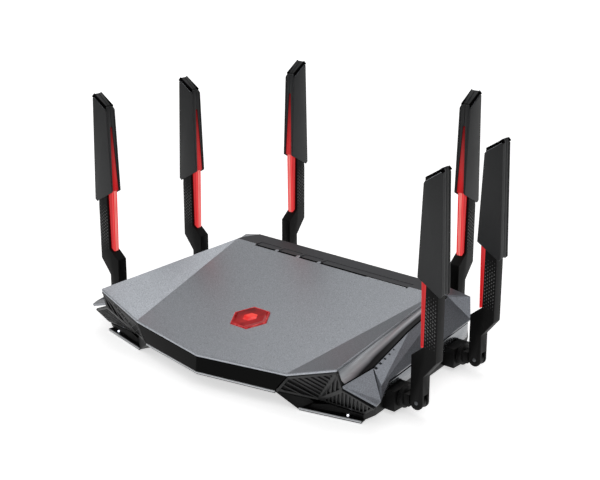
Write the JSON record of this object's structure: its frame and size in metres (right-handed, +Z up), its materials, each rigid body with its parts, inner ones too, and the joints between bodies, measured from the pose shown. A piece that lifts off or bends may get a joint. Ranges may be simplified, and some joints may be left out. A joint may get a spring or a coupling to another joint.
{
  "type": "wireless router",
  "caption": "Low faceted wireless router with a sloping metal-finish top plate, sharp side wings and folding blade antennas along its sides and back.",
  "frame": {"origin": "on the surface it stands on, at the middle of the whole object's plan box", "axes": "+Z up, front towards -Y, +X to the right seen from the front"},
  "size_m": [0.3242, 0.2142, 0.1872],
  "materials": {
    "antenna_cap": "matt moulded",
    "antenna_core": "textured moulded",
    "red_light": "translucent, lit from inside",
    "pin_steel": "turned",
    "metal_finish": "satin metallic",
    "dark_metal_finish": "brushed metallic",
    "gloss_black": "piano gloss",
    "deck_grey": "matt moulded",
    "case_black": "fine texture",
    "button_black": "fine texture",
    "clear_plastic": "clear",
    "white_light": "lit dot",
    "board": "solder resist",
    "tin_plate": "tin plated",
    "aluminium": "extruded",
    "rubber": "soft",
    "black_plastic": "moulded"
  },
  "bodies": {
    "case": {"badge_lens": "red_light", "badge_light_guide": "clear_plastic", "bottom_tray": "case_black", "button_switches": "black_plastic", "case_screws": "pin_steel", "circuit_board": "board", "ethernet_jacks": "tin_plate", "front_apron": "gloss_black", "heat_sink": "aluminium", "left_corner_grille": "case_black", "left_groove_strip": "dark_metal_finish", "left_side_skirt": "gloss_black", "left_wing": "metal_finish", "power_inlet": "black_plastic", "rear_deck": "deck_grey", "rear_port_panel": "case_black", "right_corner_grille": "case_black", "right_groove_strip": "dark_metal_finish", "right_side_skirt": "gloss_black", "right_wing": "metal_finish", "rubber_feet": "rubber", "shield_cans": "tin_plate", "status_lights": "white_light", "top_case": "case_black", "top_plate": "metal_finish", "usb_port": "tin_plate"},
    "right_front_swivel": {"right_front_swivel": "antenna_core"},
    "right_front_antenna": {"right_front_antenna_core": "antenna_core", "right_front_antenna_cap": "antenna_cap", "right_front_light_pipe": "red_light", "right_front_hinge_pin": "pin_steel"},
    "right_rear_swivel": {"right_rear_swivel": "antenna_core"},
    "right_rear_antenna": {"right_rear_antenna_core": "antenna_core", "right_rear_antenna_cap": "antenna_cap", "right_rear_light_pipe": "red_light", "right_rear_hinge_pin": "pin_steel"},
    "back_right_swivel": {"back_right_swivel": "antenna_core"},
    "back_right_antenna": {"back_right_antenna_core": "antenna_core", "back_right_antenna_cap": "antenna_cap", "back_right_light_pipe": "red_light", "back_right_hinge_pin": "pin_steel"},
    "back_left_swivel": {"back_left_swivel": "antenna_core"},
    "back_left_antenna": {"back_left_antenna_core": "antenna_core", "back_left_antenna_cap": "antenna_cap", "back_left_light_pipe": "red_light", "back_left_hinge_pin": "pin_steel"},
    "left_rear_swivel": {"left_rear_swivel": "antenna_core"},
    "left_rear_antenna": {"left_rear_antenna_core": "antenna_core", "left_rear_antenna_cap": "antenna_cap", "left_rear_light_pipe": "red_light", "left_rear_hinge_pin": "pin_steel"},
    "left_front_swivel": {"left_front_swivel": "antenna_core"},
    "left_front_antenna": {"left_front_antenna_core": "antenna_core", "left_front_antenna_cap": "antenna_cap", "left_front_light_pipe": "red_light", "left_front_hinge_pin": "pin_steel"},
    "power_button": {"power_button": "button_black"},
    "pairing_button": {"pairing_button": "button_black"},
    "light_button": {"light_button": "button_black"},
    "reset_button": {"reset_button": "button_black"}
  },
  "joints": [
    {"name": "right_front_turn", "type": "hinge", "parent": "case", "child": "right_front_swivel", "pos_m": [0.1444, -0.04465, 0.0118], "axis": [1, 0, 0], "range_deg": [-25, 90]},
    {"name": "right_front_fold", "type": "hinge", "parent": "right_front_swivel", "child": "right_front_antenna", "pos_m": [0.1444, -0.04465, 0.0118], "axis": [0, 1, 0], "range_deg": [0, 85]},
    {"name": "right_rear_turn", "type": "hinge", "parent": "case", "child": "right_rear_swivel", "pos_m": [0.1354, 0.03835, 0.0118], "axis": [1, 0, 0], "range_deg": [-90, 25]},
    {"name": "right_rear_fold", "type": "hinge", "parent": "right_rear_swivel", "child": "right_rear_antenna", "pos_m": [0.1354, 0.03835, 0.0118], "axis": [0, 1, 0], "range_deg": [0, 85]},
    {"name": "back_right_turn", "type": "hinge", "parent": "case", "child": "back_right_swivel", "pos_m": [0.0828, 0.08935, 0.0235], "axis": [0, 1, 0], "range_deg": [-25, 90]},
    {"name": "back_right_fold", "type": "hinge", "parent": "back_right_swivel", "child": "back_right_antenna", "pos_m": [0.0828, 0.08935, 0.0235], "axis": [-1, 0, 0], "range_deg": [0, 90]},
    {"name": "back_left_turn", "type": "hinge", "parent": "case", "child": "back_left_swivel", "pos_m": [-0.0828, 0.08935, 0.0235], "axis": [0, -1, 0], "range_deg": [-25, 90]},
    {"name": "back_left_fold", "type": "hinge", "parent": "back_left_swivel", "child": "back_left_antenna", "pos_m": [-0.0828, 0.08935, 0.0235], "axis": [-1, 0, 0], "range_deg": [0, 90]},
    {"name": "left_rear_turn", "type": "hinge", "parent": "case", "child": "left_rear_swivel", "pos_m": [-0.1354, 0.03835, 0.0118], "axis": [1, 0, 0], "range_deg": [-90, 25]},
    {"name": "left_rear_fold", "type": "hinge", "parent": "left_rear_swivel", "child": "left_rear_antenna", "pos_m": [-0.1354, 0.03835, 0.0118], "axis": [0, -1, 0], "range_deg": [0, 85]},
    {"name": "left_front_turn", "type": "hinge", "parent": "case", "child": "left_front_swivel", "pos_m": [-0.1444, -0.04465, 0.0118], "axis": [1, 0, 0], "range_deg": [-25, 90]},
    {"name": "left_front_fold", "type": "hinge", "parent": "left_front_swivel", "child": "left_front_antenna", "pos_m": [-0.1444, -0.04465, 0.0118], "axis": [0, -1, 0], "range_deg": [0, 85]},
    {"name": "power_button_press", "type": "slide", "parent": "case", "child": "power_button", "axis": [0, -1, 0], "range_m": [0, 0.002], "stiffness_N_per_m": 600, "springref_m": -0.0005},
    {"name": "pairing_button_press", "type": "slide", "parent": "case", "child": "pairing_button", "axis": [0, -1, 0], "range_m": [0, 0.0008], "stiffness_N_per_m": 600, "springref_m": -0.0005},
    {"name": "light_button_press", "type": "slide", "parent": "case", "child": "light_button", "axis": [0, -1, 0], "range_m": [0, 0.0008], "stiffness_N_per_m": 600, "springref_m": -0.0005},
    {"name": "reset_button_press", "type": "slide", "parent": "case", "child": "reset_button", "axis": [0, -1, 0], "range_m": [0, 0.0005], "stiffness_N_per_m": 600, "springref_m": -0.0005}
  ]
}
